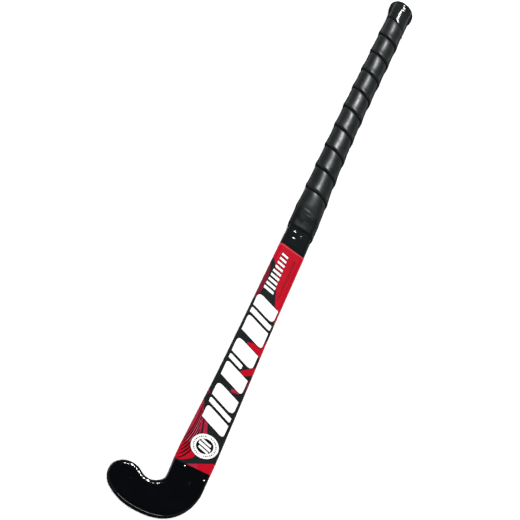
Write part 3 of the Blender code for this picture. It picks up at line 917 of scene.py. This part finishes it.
def band(name, low, high, steps, lift, mats, stands_for, lean=None):
    """Tape band between two edge functions with turned-in edges."""
    bm = bmesh.new()
    rows = []
    for k in range(-1, steps + 2):
        f = min(1.0, max(0.0, k / steps))
        row = []
        for j in range(ROUND_STEPS):
            a = 2 * math.pi * j / ROUND_STEPS
            x = low(a) + (high(a) - low(a)) * f
            drop = 1.6 * MM if k in (-1, steps + 1) else 0.0
            k_lean = lean(x) if lean else 0.0
            p = hand(x, lift(x, f, a) - drop, a, k_lean)
            p.x += k_lean * (p.y + SHIFT.y) * CAP_LEAN
            row.append(p)
        rows.append(row)
    made = skin_rings(bm, rows)
    bm.faces.ensure_lookup_table()
    # the first rows take the last material; on the closing tape that is painted shade along its lower
    # edge
    for f in bm.faces[:2 * ROUND_STEPS]:
        f.material_index = len(mats) - 1
    bm.faces.new(list(reversed(made[0])))
    bm.faces.new(made[-1])
    add(name, bm, mats, stands_for, smooth=50)


cushion_grip()


def tape_lift(x, f, a):
    """Height of the closing tape, with its end seam and small waves."""
    lip = 0.15 * MM * math.exp(-((f - 1) / 0.04) ** 2)
    seam = 0.10 * MM * math.exp(-((f - 0.62 - 0.1 * math.sin(a)) / 0.03) ** 2)
    return (grip_lift(x) + 0.42 * MM + crease(x, a, 0.25 * MM) - lip + seam
            - 0.35 * MM * math.exp(-(f / 0.03) ** 2))


# closing tape, with painted shade along its lower edge
band("finishing_wrap", lambda a: TAPE_LOW + 6 * MM * math.cos(a), slanted(TAPE_HIGH), 30, tape_lift,
     [tape_mat, painted_shade_mat], ["finishing_tape"])


def flare(x):
    """Trumpet shape of the collar and cap."""
    return blend((x - (CAP_X - 6 * MM)) / (14 * MM))


def collar_lift(x, f, a):
    """Height of the collar: it follows the grip and climbs the cap's flare."""
    base = GAP + GRIP_T + 0.30 * MM
    rim = CAP_LIFT - base
    return base + rim * flare(x) + crease(x, a, 0.10 * MM) - 0.3 * MM * math.exp(-(f / 0.03) ** 2)


band("top_collar_tape", slanted(COLLAR_X), lambda a: CAP_X + 8.0 * MM, 24, collar_lift,
     [collar_mat], ["top_collar"], lean=flare)

# from the skirt under the collar, over the rim, to the middle of the flat end: (distance past
# CAP_X, rise above the handle) in mm
CAP_PROFILE = ((-14, 0.6), (-2, 2.2), (7.6, 4.0), (9.7, 4.0), (9.75, 5.7), (10.0, 5.95),
               (10.6, 6.0), (11.8, 5.9), (12.7, 5.3), (13.2, 4.6), (13.5, 3.6), (13.5, 3.0),
               (13.42, 0.2), (13.4, -4.0))


def butt_cap_rubber():
    """Flared cap with a groove where the collar's tape ends, painted dark as shade."""
    bm = bmesh.new()
    rows = []
    for along, lift in CAP_PROFILE:
        row = []
        x = CAP_X + along * MM
        for j in range(ROUND_STEPS):
            p = hand(min(x, BUTT_X), lift * MM, 2 * math.pi * j / ROUND_STEPS, flare(x))
            p.x += flare(x) * (p.y + SHIFT.y) * CAP_LEAN
            row.append(p)
        rows.append(row)
    made = skin_rings(bm, rows)
    bm.faces.ensure_lookup_table()
    # under the collar's end and in the groove the cap takes the painted shade, a dark line where shade
    # falls
    for f in bm.faces[ROUND_STEPS:4 * ROUND_STEPS]:
        f.material_index = 1
    bm.faces.new(list(reversed(made[0])))
    bm.faces.new(made[-1])
    add("butt_cap_rubber", bm, [cap_mat, painted_shade_mat], ["butt_cap"], smooth=45)


butt_cap_rubber()

# --- inner pieces keep their solids and get real finishes -------------------------
wood = material("bent_wood", (0.52, 0.33, 0.17), 0.55)
mottle(wood, 30, ((0.60, 0.40, 0.22), (0.40, 0.24, 0.12)), stretch=(0.12, 1.6, 1.6), detail=8.0)
bump(wood, [("noise", 160, (0.08, 1, 1), 0.3, 0.0005)])
cane = material("cane", (0.62, 0.47, 0.26), 0.6)
mottle(cane, 55, ((0.70, 0.56, 0.34), (0.48, 0.34, 0.18)), stretch=(0.05, 1.5, 1.5), detail=8.0)
bump(cane, [("noise", 300, (0.03, 1, 1), 0.4, 0.0004)])
rubber = material("spring_rubber", (0.03, 0.03, 0.03), 0.75)
mottle(rubber, 120, ((0.040, 0.040, 0.040), (0.020, 0.020, 0.020)))
bump(rubber, [("noise", 400, (1, 1, 1), 0.3, 0.0003)])
twine = material("waxed_twine", (0.62, 0.56, 0.42), 0.8, sheen=0.2)
mottle(twine, 300, ((0.70, 0.64, 0.50), (0.48, 0.42, 0.30)), stretch=(1, 0.3, 0.3))
bump(twine, [("noise", 900, (1, 0.3, 0.3), 0.5, 0.0004)])
cloth = material("cloth_tape", (0.10, 0.10, 0.10), 0.8, sheen=0.2)
mottle(cloth, 200, ((0.13, 0.13, 0.13), (0.07, 0.07, 0.07)))
bump(cloth, [("X", 420, (1, 1, 1), 0.3, 0.0003), ("Y", 420, (1, 1, 1), 0.3, 0.0003)])
FINISH = {"head_lam": wood, "cane_": cane, "rubber_": rubber, "twine_": twine, "under_": cloth}
for name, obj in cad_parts.items():
    for start, mat in FINISH.items():
        if name.startswith(start):
            obj.data.materials.clear()
            obj.data.materials.append(mat)

# --- floor, light, camera ---------------------------------------------------------
bpy.ops.mesh.primitive_plane_add(size=60, location=(0, 0, -0.0002))
floor = bpy.context.object
floor.name = "floor"
floor_mat = material("floor", (0.86, 0.86, 0.86), 0.9, spec=0.1)
mottle(floor_mat, 2, ((0.87, 0.87, 0.87), (0.85, 0.85, 0.85)))
floor_shader = floor_mat.node_tree.nodes["Principled BSDF"]
floor_shader.inputs["Emission Color"].default_value = (1, 1, 1, 1)
floor_shader.inputs["Emission Strength"].default_value = 0.3
floor.data.materials.append(floor_mat)
floor.visible_glossy = False

scene = bpy.context.scene
scene.view_settings.view_transform = "Standard"

# brightness of the surroundings by height: (height from -1 to 1 as 0 to 1, grey)
SKY = ((0.0, 0.02), (0.49, 0.02), (0.497, 1.0), (0.56, 0.9), (0.65, 0.10), (0.78, 0.04), (1.0, 0.04))


def surroundings():
    """White band above the horizon, dark above and below it, so that the gloss stays black."""
    world = bpy.data.worlds.new("studio")
    scene.world = world
    world.use_nodes = True
    nodes = world.node_tree.nodes
    links = world.node_tree.links
    coords = nodes.new("ShaderNodeTexCoord")
    split = nodes.new("ShaderNodeSeparateXYZ")
    height = nodes.new("ShaderNodeMapRange")
    height.inputs["From Min"].default_value = -1.0
    ramp = nodes.new("ShaderNodeValToRGB")
    stops = ramp.color_ramp.elements
    for position, grey in SKY:
        if position in (0.0, 1.0):
            stop = stops[0 if position == 0.0 else -1]
        else:
            stop = stops.new(position)
        stop.color = (grey, grey, grey, 1)
    background = nodes["Background"]
    links.new(coords.outputs["Generated"], split.inputs["Vector"])
    links.new(split.outputs["Z"], height.inputs["Value"])
    links.new(height.outputs["Result"], ramp.inputs["Fac"])
    links.new(ramp.outputs["Color"], background.inputs["Color"])
    background.inputs["Strength"].default_value = 1.0


surroundings()


def lamp(name, kind, energy, spot, target, size=None):
    """Light at a spot, aimed at a target; size makes it a rectangle."""
    data = bpy.data.lights.new(name, kind)
    data.energy = energy
    obj = bpy.data.objects.new(name, data)
    scene.collection.objects.link(obj)
    obj.location = spot
    obj.rotation_mode = "QUATERNION"
    obj.rotation_quaternion = (Vector(target) - obj.location).to_track_quat("-Z", "Y")
    if size:
        data.shape = "RECTANGLE"
        data.size, data.size_y = size
    return obj


def accent(names, *settings):
    """Area light that only shows as a reflection, on the named pieces."""
    light = lamp(*settings)
    light.visible_diffuse = False
    group = bpy.data.collections.new(light.name + "_on")
    for name in names:
        group.objects.link(bpy.data.objects[name])
    light.light_linking.receiver_collection = group


overhead = lamp("overhead", "SUN", 4.2, (-1.5, 0.0, 2.9), (0, 0, 0))
overhead.data.angle = math.radians(25)
overhead.visible_glossy = False
# narrow softbox beyond the butt end: the streak along the grip
lamp("strip", "AREA", 17, (2.19, -0.02, 1.84), (1.2, -0.02, 0.02), (0.12, 0.28))

COLLAR = Vector((0.43, 0.0, 0.02))
CROOK = Vector((-0.43, 0.05, 0.02))
HOOK = Vector((-0.42, 0.05, 0.02))
# the collar's glint and its short sideways part
accent(("top_collar_tape", "butt_cap_rubber"), "collar_strip", "AREA", 20, (1.60, 0.02, 1.90),
       COLLAR + Vector((0, 0.02, 0)), (0.055, 1.5))
accent(("top_collar_tape",), "collar_bar", "AREA", 9, (1.05, -0.24, 2.10), COLLAR, (0.42, 0.07))
# thin lines along the hook's rim
accent(("hook_lacquer",), "low_box", "AREA", 60, (-3.0, 0.1, 0.36), HOOK, (4.0, 0.25))
accent(("hook_lacquer",), "rim_box", "AREA", 24, (1.6, 2.2, 0.42), HOOK, (3.0, 0.7))
# chain of glints inside the hook: (turn and rise in degrees, width, power)
CROOK_BOXES = ((7.5, 44.5, 0.07, 2.6), (3.8, 44.0, 0.04, 1.3), (-1.5, 42.0, 0.05, 2.6),
               (-5.5, 41.0, 0.06, 4.5), (-9.5, 40.0, 0.05, 4.0), (-13.5, 39.0, 0.06, 4.5))
BOX_AWAY = 2.9
for turn, rise, wide, power in CROOK_BOXES:
    a, b = math.radians(turn), math.radians(rise)
    away = Vector((math.cos(a) * math.cos(b), math.sin(a) * math.cos(b), math.sin(b))) * BOX_AWAY
    accent(("hook_lacquer",), "crook_box", "AREA", power, away + CROOK, CROOK, (wide, 0.08))

# the camera looks along the stick from beyond its head, rolled so that the stick leans right
TILT = math.radians(50.6)         # the view's angle below the stick's plane
ROLL = math.radians(25.2)
DISTANCE = 2.272
TARGET = Vector((-0.067, 0.0318, 0.012)) - SHIFT
look = Vector((math.cos(TILT), 0, -math.sin(TILT)))
right = Vector((0, -1, 0))
up = right.cross(look)
cam_x = right * math.cos(ROLL) + up * math.sin(ROLL)
cam_y = up * math.cos(ROLL) - right * math.sin(ROLL)
cam = bpy.data.cameras.new("camera")
cam.sensor_width = 36
cam.lens = 125.2
cam.shift_x = 0.001923
cam.shift_y = -0.000962
cam.clip_end = 100
cam_obj = bpy.data.objects.new("camera", cam)
scene.collection.objects.link(cam_obj)
cam_obj.matrix_world = Matrix.Translation(TARGET - look * DISTANCE) @ Matrix(
    (cam_x, cam_y, -look)).transposed().to_4x4()
scene.camera = cam_obj

bpy.context.view_layer.update()
